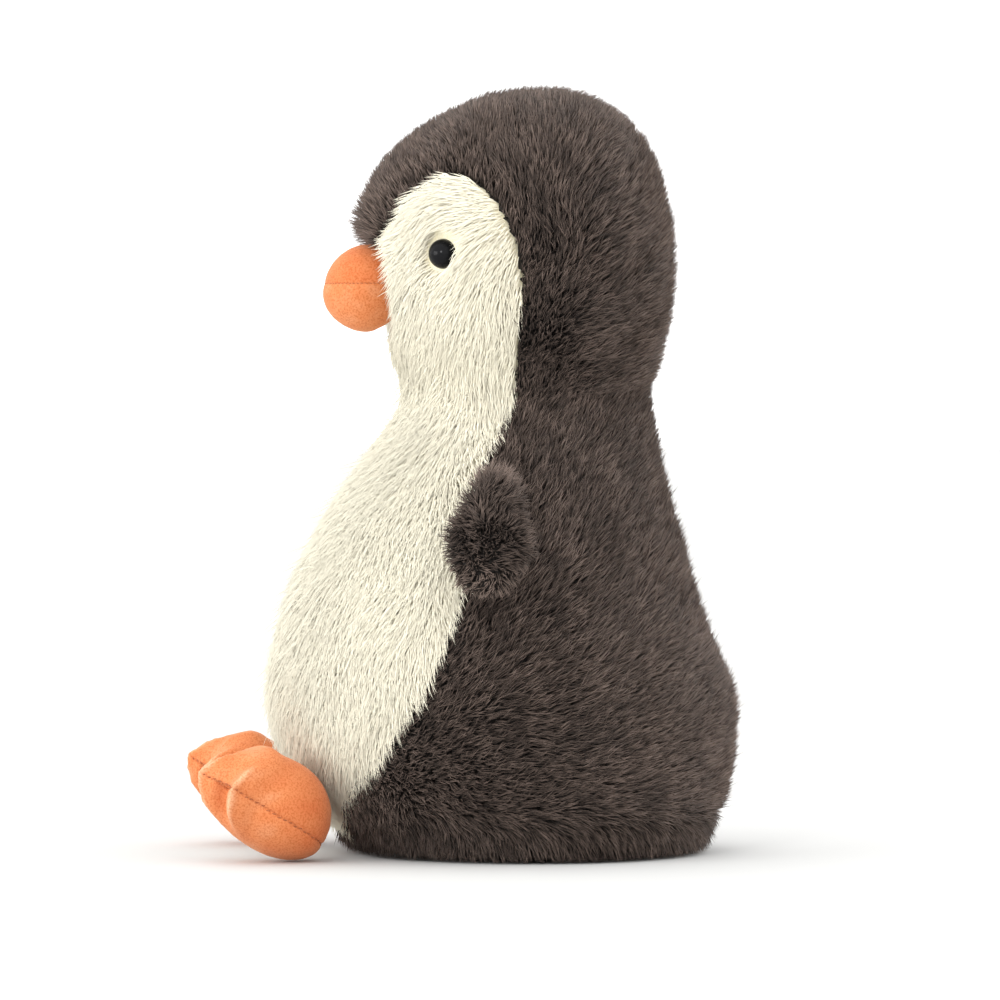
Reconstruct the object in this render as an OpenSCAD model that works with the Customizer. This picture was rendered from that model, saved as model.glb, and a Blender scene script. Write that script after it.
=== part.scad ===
// Sitting plush penguin, millimetres.
// +Z is up, the penguin faces -Y and its left side is +X.
// The origin is the middle of the flat underside that it sits on.
// Every outer fur surface is drawn at the tips of the pile.

/* [Pile] */
// Depth of the fur with its backing cloth, on the head and body
pile = 7; // [5:0.5:8]
// Depth of the fur with its backing cloth, on the flippers
flipper_pile = 3; // [2:0.5:3.5]
// Thickness of the suede cloth on the beak and feet
suede = 1.2; // [0.8:0.1:1.6]

/* [Body] */
// Height of the seam round the base
base_seam = 7; // [6:0.5:8]
// Height where the body ends and the neck starts
neck_z = 136; // [135:0.5:137]
// Thickness of the pressed fur under the base
base_thick = 3.5; // [3:0.5:4]

/* [Neck and head] */
// Height of the point that the head turns and nods about
nod_z = 120; // [119:0.5:121]
// Radius of the ball of stuffing in the neck
neck_ball = 44; // [43:0.5:44.5]
// Radius of the stuffing where the body's stuffing meets it
neck_r = 35; // [30:1:35]
// Gap between bodies that move against each other
gap = 0.4; // [0.3:0.1:0.6]
// Gap between the body's cloth and its stuffing
fill_gap = 1; // [0.8:0.1:1.5]

/* [Eyes and beak] */
// Diameter of the eye's dome
eye_d = 9; // [8:0.5:10]
// Height of the eye's middle
eye_z = 180; // [179:0.5:184]
// Height of the beak's seam
beak_z = 171.3; // [169:0.5:173]
// Half of the beak's width
beak_w = 13; // [11:0.5:14]

/* [Flippers] */
// Length from the sewn root to the tip
flipper_len = 50; // [44:1:52]
// Widest part of a flipper
flipper_wide = 29; // [24:1:31]
// Angle that a flipper stands out from the vertical
flipper_out = 36; // [34:1:50]
// Angle that a flipper leans towards the front
flipper_lean = 9; // [5:1:15]

/* [Feet] */
// Angle of a foot with the toes up
foot_tilt = 31; // [26:1:35]
// Angle that a foot turns out
foot_splay = 12; // [5:1:14]
// Thickness of the foot above its seam
foot_top = 18; // [12:1:19]
// Thickness of the foot below its seam
foot_sole = 11.5; // [8:0.5:12]

/* [Hidden] */

cream = [0.95, 0.93, 0.84];
charcoal = [0.29, 0.26, 0.25];
orange = [0.95, 0.56, 0.35];
wool = [0.98, 0.98, 0.97];
calico = [0.87, 0.83, 0.74];
black = [0.03, 0.03, 0.03];
clear_plastic = [0.85, 0.88, 0.9];

nod_point = [0, -1, nod_z];
eye_point = [40, -31.5, eye_z];
eye_turn = -37;
beak_point = [0, -49.5, beak_z];
flipper_root = [52, -13, 117.5];
foot_middle = [40, -80.5, 14.2];
pouch_r = 36;
pouch_low = 7;
pouch_high = 24;
cloth = 0.8;

// Cross-sections of the body: [height, front, back, half width]
body_shape = [
    [0, -46, 46, 50],
    [2, -52, 51.5, 56],
    [base_seam, -58, 55.5, 60.5],
    [16, -66.5, 59.5, 63.5],
    [27.5, -75, 62, 66],
    [42, -80, 63, 67],
    [52, -80.3, 61.3, 66.8],
    [61, -79, 56.6, 65.8],
    [77, -74.3, 51, 62.5],
    [92, -68, 47, 58.5],
    [107, -59.5, 42.5, 54],
    [119, -50.5, 40, 48],
    [128, -44.3, 38.5, 43.5],
    [neck_z, -39.7, 37.5, 40],
];
// Where the belly's side seam lies on each cross-section, in degrees from the front
belly_seam = [0, 8, 15, 27, 48, 60, 67, 71, 76, 77, 74, 72, 75, 77];

// Cross-sections of the head, carried down past the neck
head_shape = [
    [118, -39.5, 37.5, 40],
    [neck_z, -39.5, 37.5, 40],
    [144, -40, 38.7, 42],
    [151, -44, 40, 45],
    [159, -47.8, 42.2, 47.5],
    [170, -50, 43.8, 49.5],
    [181, -51, 43.8, 50],
    [192, -52.5, 42.8, 49],
    [200, -51, 40.8, 46.5],
    [208, -46.5, 38.5, 42.5],
    [216, -38.5, 34, 36],
    [222, -29.5, 28, 28.5],
    [227, -18, 21, 19],
    [229.3, -8, 14, 10],
    [230, 1, 5, 2],
];
head_middle = [0, -4, 184];

// Side view of the cream face, as [y, z], from the chin round the back of the cheek
face_side = [
    [-90, 125], [-8.5, 125], [-8.5, 139], [-8, 144], [-7.2, 158], [-5.8, 165], [-6.4, 177],
    [-9.4, 187], [-13.3, 196], [-20, 203], [-28, 206.5], [-90, 206.5],
];
// Front view of one side of the crown's dark peak, as [x, z], from the beak up
peak_front = [[0, 182], [12, 183.5], [24, 188.5], [28, 193], [30, 199], [38, 206.5], [24, 232]];
// Back view of one side of the crown gusset
peak_back = [[0, 125], [9, 125], [24, 232]];

function spline(rows, t) =
    let (
        last = len(rows) - 1,
        i = min(floor(t), last - 1),
        f = t - i,
        a = rows[max(i - 1, 0)],
        b = rows[i],
        c = rows[i + 1],
        d = rows[min(i + 2, last)]
    )
    b + 0.5 * f * ((c - a) + f * ((2 * a - 5 * b + 4 * c - d) + f * (3 * (b - c) + d - a)));

// A cross-section drawn in by some depth
function inset(row, depth) = [row[0], row[1] + depth, row[2] - depth, row[3] - depth];

// The point of a cross-section at an angle from the front, turning to the left side
function on_ring(row, angle) = [
    row[3] * sin(angle),
    (row[1] + row[2]) / 2 - (row[2] - row[1]) / 2 * cos(angle),
    row[0],
];

function smooth(rows, from, to, steps) =
    [for (i = [0 : steps]) spline(rows, from + (to - from) * i / steps)];

function quad(a, b, c, d) = [[a, b, c], [a, c, d]];

// A closed solid through a stack of rings, with flat ends
module ring_stack(rows, sides) {
    last = len(rows) - 1;
    points = [for (row = rows, j = [0 : sides - 1]) on_ring(row, 360 * j / sides)];
    walls = [
        for (i = [0 : last - 1], j = [0 : sides - 1])
            let (k = (j + 1) % sides)
            each quad(i * sides + j, (i + 1) * sides + j, (i + 1) * sides + k, i * sides + k)
    ];
    low_end = [for (j = [1 : sides - 2]) [0, j, j + 1]];
    high_end = [for (j = [1 : sides - 2]) [last * sides, last * sides + j + 1, last * sides + j]];
    polyhedron(points, concat(walls, low_end, high_end));
}

// A curved cloth panel: two grids of points, outside and inside, joined round their edges
module cloth_panel(outside, inside) {
    rows = len(outside) - 1;
    cols = len(outside[0]) - 1;
    across = cols + 1;
    under = (rows + 1) * across;
    points = concat([for (row = outside) each row], [for (row = inside) each row]);
    skin = [
        for (i = [0 : rows - 1], j = [0 : cols - 1])
            let (p = i * across + j)
            each quad(p, p + across, p + across + 1, p + 1)
    ];
    lining = [for (t = skin) [t[2] + under, t[1] + under, t[0] + under]];
    ends = [
        for (j = [0 : cols - 1])
            let (p = j, q = rows * across + j)
            each concat(
                quad(p, p + 1, p + 1 + under, p + under),
                quad(q + 1, q, q + under, q + 1 + under)
            )
    ];
    sides = [
        for (i = [0 : rows - 1])
            let (p = i * across, q = p + cols)
            each concat(
                quad(p + across, p, p + under, p + across + under),
                quad(q, q + across, q + across + under, q + under)
            )
    ];
    polyhedron(points, concat(skin, lining, ends, sides));
}

// A grid on the body between two seams. seam(row) gives the angle on each row.
function body_grid(angles_from, angles_to, depth, cols, steps) =
    let (first = 2, last = len(body_shape) - 1)
    [
        for (i = [0 : steps])
            let (
                t = first + (last - first) * i / steps,
                row = inset(spline(body_shape, t), depth),
                a = spline(angles_from, t),
                b = spline(angles_to, t)
            )
            [for (j = [0 : cols]) on_ring(row, a + (b - a) * j / cols)]
    ];

module body_cloth(angles_from, angles_to, cols) {
    rows_up = 22;
    cloth_panel(
        body_grid(angles_from, angles_to, 0, cols, rows_up),
        body_grid(angles_from, angles_to, pile, cols, rows_up)
    );
}

module belly_panel() {
    color(cream) body_cloth(-belly_seam, belly_seam, 20);
}

module back_panel_left() {
    back_seam = [for (a = belly_seam) 180];
    color(charcoal) body_cloth(belly_seam, back_seam, 14);
}

module back_panel_right() {
    color(charcoal) mirror([1, 0, 0]) back_panel_left();
}

// The rings inside the base panel, which the stuffing fills
function base_inside() = [
    [base_thick, -46, 44, 49],
    inset(body_shape[2], pile),
];

module base_panel() {
    outside = smooth(body_shape, 0, 2, 4);
    inside = base_inside();
    color(charcoal) ring_stack(concat(outside, [inside[1], inside[0]]), 44);
}

module pouch_shape(draw_in) {
    r = pouch_r - draw_in;
    low = pouch_low + draw_in;
    high = pouch_high - draw_in;
    edge = (high - low) / 2;
    translate([0, -2, 0])
        rotate_extrude($fn = 64)
            intersection() {
                translate([r - edge, (low + high) / 2]) circle(edge, $fn = 32);
                translate([r - edge, low]) square([edge, high - low]);
            }
    translate([0, -2, low]) cylinder(r = r - edge, h = high - low, $fn = 64);
}

module body_fill() {
    base_middle = inset(base_inside()[0], fill_gap) + [fill_gap, 0, 0, 0];
    upper = smooth(body_shape, 2, len(body_shape) - 1, 22);
    color(wool) difference() {
        ring_stack(concat([base_middle], [for (row = upper) inset(row, pile + fill_gap)]), 36);
        pouch_shape(0);
    }
}

module bean_pouch() {
    color(calico) difference() {
        pouch_shape(0);
        pouch_shape(cloth);
    }
}

module bean_pellets() {
    color(clear_plastic) pouch_shape(cloth);
}

module neck_fill() {
    color(wool) intersection() {
        translate(nod_point) sphere(neck_ball, $fn = 96);
        translate([0, nod_point[1], neck_z + gap]) cylinder(r = neck_r, h = 60, $fn = 96);
    }
}

module head_outside() {
    ring_stack(smooth(head_shape, 0, len(head_shape) - 1, 26), 40);
}

// The head without its pile, which is the outside of its stuffing
module head_inside() {
    translate(head_middle) scale(1 - pile / 50) translate(-head_middle) head_outside();
}

module neck_hollow() {
    translate(nod_point) sphere(neck_ball + gap, $fn = 96);
}

module head_cloth() {
    difference() {
        head_outside();
        head_inside();
        neck_hollow();
    }
}

module extrude_along_x(outline) {
    translate([-80, 0, 0]) rotate([90, 0, 90]) linear_extrude(160) polygon(outline);
}

// A front-view outline and its mirror image, carried over a range of y
module extrude_along_y(half_outline, from, to) {
    back_again = [for (i = [len(half_outline) - 1 : -1 : 0]) [-half_outline[i][0], half_outline[i][1]]];
    translate([0, to, 0])
        rotate([90, 0, 0])
            linear_extrude(to - from) polygon(concat(half_outline, back_again));
}

module crown_wedge() {
    extrude_along_y(peak_front, -90, 0);
    extrude_along_y(peak_back, -0.01, 90);
}

module left_half() {
    translate([0, -100, 100]) cube([100, 200, 150]);
}

module face_panel_left() {
    color(cream) difference() {
        intersection() {
            head_cloth();
            extrude_along_x(face_side);
            left_half();
        }
        extrude_along_y(peak_front, -90, 0);
        beak_shape(0);
        eye_hole();
    }
}

module face_panel_right() {
    color(cream) mirror([1, 0, 0]) face_panel_left();
}

module crown_gusset() {
    color(charcoal) difference() {
        intersection() {
            head_cloth();
            crown_wedge();
        }
        beak_shape(0);
    }
}

module hood_panel_left() {
    color(charcoal) difference() {
        intersection() {
            head_cloth();
            left_half();
        }
        extrude_along_x(face_side);
        crown_wedge();
    }
}

module hood_panel_right() {
    color(charcoal) mirror([1, 0, 0]) hood_panel_left();
}

module head_fill() {
    color(wool) difference() {
        head_inside();
        neck_hollow();
        for (side = [0, 1]) mirror([side, 0, 0]) at_eye() washer_space();
    }
}

// A stuffed pad of two cloths sewn round an outline. shape(angle) gives the
// outline's radius, and the crown may sit off the middle.
function pad_grid(radii, height, draw_in, lean, rings) =
    let (n = len(radii))
    [
        for (i = [0 : rings])
            let (turn = 90 * i / rings)
            [
                for (j = [0 : n - 1])
                    let (
                        r = (radii[j] - draw_in) * cos(turn),
                        a = 360 * j / n
                    )
                    [
                        r * cos(a) + lean * sin(turn),
                        r * sin(a),
                        (height - sign(height) * draw_in) * sin(turn),
                    ]
            ]
    ];

function ring_faces(n, i, start) = [
    for (j = [0 : n - 1])
        let (k = (j + 1) % n, p = start + i * n)
        each quad(p + j, p + k, p + n + k, p + n + j)
];

// The last ring of a pad's grid is a single point
function pad_points(grid) =
    let (last = len(grid) - 1)
    concat([for (i = [0 : last - 1]) each grid[i]], [grid[last][0]]);

function pad_faces(n, rings, start) = concat(
    [for (i = [0 : rings - 2]) each ring_faces(n, i, start)],
    [
        for (j = [0 : n - 1])
            let (p = start + (rings - 1) * n)
            [p + j, p + (j + 1) % n, start + rings * n]
    ]
);

function flipped(faces) = [for (f = faces) [f[2], f[1], f[0]]];

// One cloth of a pad, from its outline up to its crown
module pad_cloth(radii, height, thick, lean, rings) {
    n = len(radii);
    outside = pad_points(pad_grid(radii, height, 0, lean, rings));
    inside = pad_points(pad_grid(radii, height, thick, lean, rings));
    under = len(outside);
    skin = pad_faces(n, rings, 0);
    lining = flipped(pad_faces(n, rings, under));
    hem = [
        for (j = [0 : n - 1])
            let (k = (j + 1) % n)
            each quad(j + under, k + under, k, j)
    ];
    faces = concat(skin, lining, hem);
    polyhedron(concat(outside, inside), height > 0 ? flipped(faces) : faces);
}

// The whole pad, drawn in by a depth
module pad_solid(radii, top, bottom, draw_in, lean_top, lean_bottom, rings) {
    n = len(radii);
    above = pad_points(pad_grid(radii, top, draw_in, lean_top, rings));
    below = pad_points(pad_grid(radii, -bottom, draw_in, lean_bottom, rings));
    low_points = [for (i = [n : len(below) - 1]) below[i]];
    start = len(above) - n;
    top_faces = flipped(pad_faces(n, rings, 0));
    low_faces = [for (f = pad_faces(n, rings, start)) [for (p = f) p < start + n ? p - start : p]];
    polyhedron(concat(above, low_points), concat(top_faces, low_faces));
}

function ellipse_radius(a, along, across) =
    1 / sqrt(pow(cos(a) / along, 2) + pow(sin(a) / across, 2));

// Angles from -180 to 180
function signed(a) = a > 180 ? a - 360 : a;

beak_sides = 28;
// A little shorter at the back, where it is sewn to the face
beak_radii = [
    for (j = [0 : beak_sides - 1])
        let (a = 360 * j / beak_sides)
        ellipse_radius(a, cos(a) > 0 ? 12.5 : 10, beak_w)
];
beak_above = 12;
beak_below = 13.6;
beak_back = -44.8;

module at_beak() {
    translate(beak_point) rotate([0, 0, -90]) children();
}

module beak_shape(draw_in) {
    at_beak() pad_solid(beak_radii, beak_above, beak_below, draw_in, -1.5, 5, 6);
}

module behind_beak() {
    translate([-30, beak_back, 140]) cube([60, 40, 60]);
}

module beak_cloth(height, lean) {
    color(orange) difference() {
        at_beak() pad_cloth(beak_radii, height, suede, lean, 6);
        behind_beak();
    }
}

module beak_upper() {
    beak_cloth(beak_above, -1.5);
}

module beak_lower() {
    beak_cloth(-beak_below, 5);
}

module beak_fill() {
    color(wool) difference() {
        beak_shape(suede);
        behind_beak();
    }
}

// Puts +Z along the eye's axis, outwards, with z = 0 at the fur's surface
module at_eye() {
    translate(eye_point) rotate([0, 0, eye_turn]) rotate([0, 90, 0]) children();
}

eye_seat = -5;
post_r = 1.5;
post_end = -12;
washer_r = 6;
washer_top = -7.5;
washer_thick = 1.3;

module eye_left() {
    color(black) at_eye() {
        translate([0, 0, eye_seat])
            rotate_extrude($fn = 64)
                intersection() {
                    circle(eye_d / 2, $fn = 64);
                    square(eye_d);
                }
        translate([0, 0, post_end]) cylinder(r = post_r, h = eye_seat - post_end, $fn = 32);
    }
}

module eye_right() {
    mirror([1, 0, 0]) eye_left();
}

module eye_hole() {
    at_eye() {
        translate([0, 0, eye_seat]) cylinder(r = eye_d / 2 + 0.1, h = 20, $fn = 64);
        translate([0, 0, post_end]) cylinder(r = post_r + 0.1, h = 10, $fn = 32);
    }
}

module eye_washer_left() {
    color(clear_plastic) at_eye()
        translate([0, 0, washer_top - washer_thick])
            difference() {
                cylinder(r = washer_r, h = washer_thick, $fn = 48);
                translate([0, 0, -1]) cylinder(r = post_r + 0.05, h = washer_thick + 2, $fn = 32);
            }
}

module eye_washer_right() {
    mirror([1, 0, 0]) eye_washer_left();
}

// The room that a washer and the end of its post take in the stuffing
module washer_space() {
    translate([0, 0, washer_top - washer_thick]) cylinder(r = washer_r, h = 12, $fn = 48);
    translate([0, 0, post_end]) cylinder(r = post_r, h = 10, $fn = 32);
}

flipper_sides = 28;
// Narrower towards the root, which is at 180 degrees
flipper_radii = [
    for (j = [0 : flipper_sides - 1])
        let (a = 360 * j / flipper_sides, narrow = cos(a) < 0 ? 0.2 * abs(sin(2 * a)) : 0)
        ellipse_radius(a, flipper_len / 2, flipper_wide / 2) * (1 - narrow)
];
flipper_over = 10;
flipper_under = 4.5;

module at_flipper() {
    translate(flipper_root)
        rotate([0, -flipper_out, 0])
            rotate([-flipper_lean, 0, 0])
                rotate([0, 90, 0])
                    translate([flipper_len / 2, 0, 0])
                        children();
}

module flipper_left_outer() {
    color(charcoal) at_flipper() pad_cloth(flipper_radii, flipper_over, flipper_pile, 2, 5);
}

module flipper_left_inner() {
    color(charcoal) at_flipper() pad_cloth(flipper_radii, -flipper_under, flipper_pile, 2, 5);
}

module flipper_left_fill() {
    color(wool) at_flipper()
        pad_solid(flipper_radii, flipper_over, flipper_under, flipper_pile, 2, 2, 5);
}

module flipper_right_outer() {
    mirror([1, 0, 0]) flipper_left_outer();
}

module flipper_right_inner() {
    mirror([1, 0, 0]) flipper_left_inner();
}

module flipper_right_fill() {
    mirror([1, 0, 0]) flipper_left_fill();
}

foot_sides = 36;
foot_half_length = 21.5;
foot_half_width = 17.5;
toe_spread = 40;
toe_depth = 2.8;
// How far the crowns of the foot lie towards the heel
foot_lean_top = 1;
foot_lean_sole = 0.5;
// Three toes at the front, a round heel at the back
foot_radii = [
    for (j = [0 : foot_sides - 1])
        let (a = signed(360 * j / foot_sides), toes = abs(a) < 1.5 * toe_spread)
        ellipse_radius(a, foot_half_length, foot_half_width)
            + (toes ? toe_depth * cos(360 * a / toe_spread) : -toe_depth)
];

module at_foot() {
    translate(foot_middle)
        rotate([0, 0, foot_splay - 90])
            rotate([0, -foot_tilt, 0])
                children();
}

module foot_left_upper() {
    color(orange) at_foot() pad_cloth(foot_radii, foot_top, suede, -foot_lean_top, 5);
}

module foot_left_sole() {
    color(orange) at_foot() pad_cloth(foot_radii, -foot_sole, suede, -foot_lean_sole, 5);
}

module foot_left_fill() {
    color(wool) at_foot()
        pad_solid(foot_radii, foot_top, foot_sole, suede, -foot_lean_top, -foot_lean_sole, 5);
}

module foot_right_upper() {
    mirror([1, 0, 0]) foot_left_upper();
}

module foot_right_sole() {
    mirror([1, 0, 0]) foot_left_sole();
}

module foot_right_fill() {
    mirror([1, 0, 0]) foot_left_fill();
}

belly_panel();
back_panel_left();
back_panel_right();
base_panel();
body_fill();
bean_pouch();
bean_pellets();
neck_fill();
face_panel_left();
face_panel_right();
crown_gusset();
hood_panel_left();
hood_panel_right();
head_fill();
beak_upper();
beak_lower();
beak_fill();
eye_left();
eye_right();
eye_washer_left();
eye_washer_right();
flipper_left_outer();
flipper_left_inner();
flipper_left_fill();
flipper_right_outer();
flipper_right_inner();
flipper_right_fill();
foot_left_upper();
foot_left_sole();
foot_left_fill();
foot_right_upper();
foot_right_sole();
foot_right_fill();
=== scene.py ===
import functools
import math

import bpy
import numpy as np
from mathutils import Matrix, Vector
from mathutils.bvhtree import BVHTree
from mathutils.kdtree import KDTree


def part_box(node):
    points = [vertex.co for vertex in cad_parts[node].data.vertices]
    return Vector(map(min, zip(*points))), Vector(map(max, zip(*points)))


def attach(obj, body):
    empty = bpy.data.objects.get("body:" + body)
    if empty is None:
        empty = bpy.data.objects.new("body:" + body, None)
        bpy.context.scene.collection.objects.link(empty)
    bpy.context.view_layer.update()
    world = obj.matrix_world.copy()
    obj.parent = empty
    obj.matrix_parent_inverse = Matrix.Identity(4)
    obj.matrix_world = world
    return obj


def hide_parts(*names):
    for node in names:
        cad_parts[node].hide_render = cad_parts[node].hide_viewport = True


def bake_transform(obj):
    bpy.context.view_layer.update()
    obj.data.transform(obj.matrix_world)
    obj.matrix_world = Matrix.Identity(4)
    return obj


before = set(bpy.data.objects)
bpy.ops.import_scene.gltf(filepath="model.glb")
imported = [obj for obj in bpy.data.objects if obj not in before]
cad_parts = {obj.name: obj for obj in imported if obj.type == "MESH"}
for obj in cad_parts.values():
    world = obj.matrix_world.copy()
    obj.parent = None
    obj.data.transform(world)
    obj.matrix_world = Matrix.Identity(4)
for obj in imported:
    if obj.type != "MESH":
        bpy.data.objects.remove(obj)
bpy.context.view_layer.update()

MM = 0.001
SIDES = ("left", "right")
rng = np.random.default_rng(41)

TORSO_PANELS = {
    "belly_panel": "cream",
    "back_panel_left": "charcoal",
    "back_panel_right": "charcoal",
    "base_panel": "charcoal",
}
HEAD_PANELS = {
    "face_panel_left": "cream",
    "face_panel_right": "cream",
    "crown_gusset": "charcoal",
    "hood_panel_left": "charcoal",
    "hood_panel_right": "charcoal",
}


# ---------------------------------------------------------------- meshes and arrays


def arrays(mesh):
    """A mesh's points and triangles."""
    co = np.empty(len(mesh.vertices) * 3, np.float32)
    mesh.vertices.foreach_get("co", co)
    mesh.calc_loop_triangles()
    tri = np.empty(len(mesh.loop_triangles) * 3, np.int32)
    mesh.loop_triangles.foreach_get("vertices", tri)
    return co.reshape(-1, 3).astype(float), tri.reshape(-1, 3)


def joined(names):
    """The points and triangles of several CAD nodes."""
    points, faces, start = [], [], 0
    for name in names:
        co, tri = arrays(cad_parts[name].data)
        points.append(co)
        faces.append(tri + start)
        start += len(co)
    return np.concatenate(points), np.concatenate(faces)


def mesh_object(name, co, corners, sizes, material):
    """A smooth-shaded object from points, face corners and the number of corners of each face."""
    mesh = bpy.data.meshes.new(name)
    mesh.vertices.add(len(co))
    mesh.vertices.foreach_set("co", np.asarray(co, np.float32).ravel())
    mesh.loops.add(len(corners))
    mesh.loops.foreach_set("vertex_index", np.asarray(corners, np.int32))
    mesh.polygons.add(len(sizes))
    starts = np.concatenate([[0], np.cumsum(sizes)[:-1]])
    mesh.polygons.foreach_set("loop_start", starts.astype(np.int32))
    mesh.update(calc_edges=True)
    mesh.polygons.foreach_set("use_smooth", np.ones(len(sizes), bool))
    obj = bpy.data.objects.new(name, mesh)
    bpy.context.scene.collection.objects.link(obj)
    mesh.materials.append(material)
    return obj


def triangle_object(name, co, tri, material):
    return mesh_object(name, co, tri.ravel(), np.full(len(tri), 3), material)


def unit(v):
    return v / np.maximum(np.linalg.norm(v, axis=-1, keepdims=True), 1e-9)


def dot(a, b):
    return np.sum(a * b, axis=-1, keepdims=True)


def point_normals(co, tri):
    across = np.cross(co[tri[:, 1]] - co[tri[:, 0]], co[tri[:, 2]] - co[tri[:, 0]])
    total = np.zeros_like(co)
    for k in range(3):
        np.add.at(total, tri[:, k], across)
    return unit(total)


def relaxed(co, tri, times, share=0.5):
    """Moves each point part of the way to the middle of its neighbours, several times."""
    edges = np.concatenate([tri[:, [0, 1]], tri[:, [1, 2]], tri[:, [2, 0]]])
    count = np.maximum(np.bincount(edges.ravel(), minlength=len(co)), 1)[:, None]
    for _ in range(times):
        total = np.zeros_like(co)
        np.add.at(total, edges[:, 0], co[edges[:, 1]])
        np.add.at(total, edges[:, 1], co[edges[:, 0]])
        co = co + share * (total / count - co)
    return co


def applied(obj):
    """The points and triangles of an object with its modifiers on. The object is removed."""
    depsgraph = bpy.context.evaluated_depsgraph_get()
    evaluated = obj.evaluated_get(depsgraph)
    mesh = evaluated.to_mesh()
    result = arrays(mesh)
    evaluated.to_mesh_clear()
    bpy.data.objects.remove(obj)
    return result


def remeshed(names, voxel):
    """One closed skin round several CAD nodes."""
    co, tri = joined(names)
    obj = triangle_object("form", co, tri, None)
    remesh = obj.modifiers.new("remesh", "REMESH")
    remesh.mode = "VOXEL"
    remesh.voxel_size = voxel
    return applied(obj)


def inflated(co, tri, pinned, pressure, cap):
    """The skin after it is blown up as cloth, with pinned points held and no point moving over cap."""
    obj = triangle_object("cloth", co, tri, None)
    group = obj.vertex_groups.new(name="pin")
    for index, weight in enumerate(pinned):
        if weight > 0.01:
            group.add([index], float(weight), "REPLACE")
    cloth = obj.modifiers.new("cloth", "CLOTH")
    cloth.settings.use_pressure = True
    cloth.settings.uniform_pressure_force = pressure
    cloth.settings.quality = 5
    cloth.settings.mass = 0.1
    cloth.settings.tension_stiffness = 12
    cloth.settings.compression_stiffness = 12
    cloth.settings.bending_stiffness = 0.4
    cloth.settings.vertex_group_mass = "pin"
    cloth.settings.effector_weights.gravity = 0
    cloth.collision_settings.use_collision = False
    cloth.point_cache.frame_end = 20
    for number in range(1, 21):
        bpy.context.scene.frame_set(number)
    moved, _ = applied(obj)
    bpy.context.scene.frame_set(1)
    step = moved - co
    length = np.linalg.norm(step, axis=1, keepdims=True)
    return co + step * np.minimum(1, cap / np.maximum(length, 1e-9))


def waves(points, size, seed):
    """A smooth random value from -1 to 1 at each point."""
    draw = np.random.default_rng(seed)
    value = np.zeros(len(points))
    for _ in range(8):
        way = unit(draw.normal(size=3)) * 2 * math.pi / (size * draw.uniform(0.7, 1.5))
        value += np.sin(points @ way + draw.uniform(0, 2 * math.pi))
    return np.clip(value / 4, -1, 1)


def smoothstep(low, high, x):
    t = np.clip((x - low) / (high - low), 0, 1)
    return t * t * (3 - 2 * t)


def distances(points, names):
    """How far each point is from each of several CAD nodes."""
    table = []
    for name in names:
        co, tri = arrays(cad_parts[name].data)
        tree = BVHTree.FromPolygons(co.tolist(), tri.tolist())
        table.append([tree.find_nearest(p)[3] for p in points.tolist()])
    return np.array(table).T


# ---------------------------------------------------------------- materials


def node_material(name):
    material = bpy.data.materials.new(name)
    material.use_nodes = True
    nodes = material.node_tree.nodes
    return material, nodes, material.node_tree.links, nodes["Principled BSDF"]


def ramp(nodes, stops):
    node = nodes.new("ShaderNodeValToRGB")
    elements = node.color_ramp.elements
    while len(elements) > 1:
        elements.remove(elements[0])
    elements[0].position, elements[0].color = stops[0][0], (*stops[0][1], 1)
    for position, colour in stops[1:]:
        elements.new(position).color = (*colour, 1)
    return node


def multiplied(nodes, links, one, other):
    """The colour of two ramps multiplied."""
    mix = nodes.new("ShaderNodeMix")
    mix.data_type = "RGBA"
    mix.blend_type = "MULTIPLY"
    mix.inputs["Factor"].default_value = 1
    links.new(one.outputs["Color"], mix.inputs["A"])
    links.new(other.outputs["Color"], mix.inputs["B"])
    return mix.outputs["Result"]


def noise_of(nodes, links, scale, detail):
    """Noise that is fixed to the object."""
    coordinates = nodes.new("ShaderNodeTexCoord")
    noise = nodes.new("ShaderNodeTexNoise")
    noise.inputs["Scale"].default_value = scale
    noise.inputs["Detail"].default_value = detail
    links.new(coordinates.outputs["Object"], noise.inputs["Vector"])
    return noise.outputs["Fac"]


def add_bump(nodes, links, shader, height, strength, distance):
    bump = nodes.new("ShaderNodeBump")
    bump.inputs["Strength"].default_value = strength
    bump.inputs["Distance"].default_value = distance
    links.new(height, bump.inputs["Height"])
    links.new(bump.outputs["Normal"], shader.inputs["Normal"])


def fur_material(name, root_to_tip, dark_to_light):
    """Fur whose colour runs up each strand, times a tone that each strand carries."""
    material, nodes, links, shader = node_material(name)
    place = nodes.new("ShaderNodeUVMap")
    place.uv_map = "OFBake"
    split = nodes.new("ShaderNodeSeparateXYZ")
    links.new(place.outputs["UV"], split.inputs["Vector"])
    along = ramp(nodes, root_to_tip)
    links.new(split.outputs["Y"], along.inputs["Fac"])
    tone = ramp(nodes, dark_to_light)
    links.new(split.outputs["X"], tone.inputs["Fac"])
    links.new(multiplied(nodes, links, along, tone), shader.inputs["Base Color"])
    shader.inputs["Roughness"].default_value = 0.62
    shader.inputs["Specular IOR Level"].default_value = 0.15
    shader.inputs["Sheen Weight"].default_value = 0.04
    shader.inputs["Sheen Roughness"].default_value = 0.4
    return material


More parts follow.
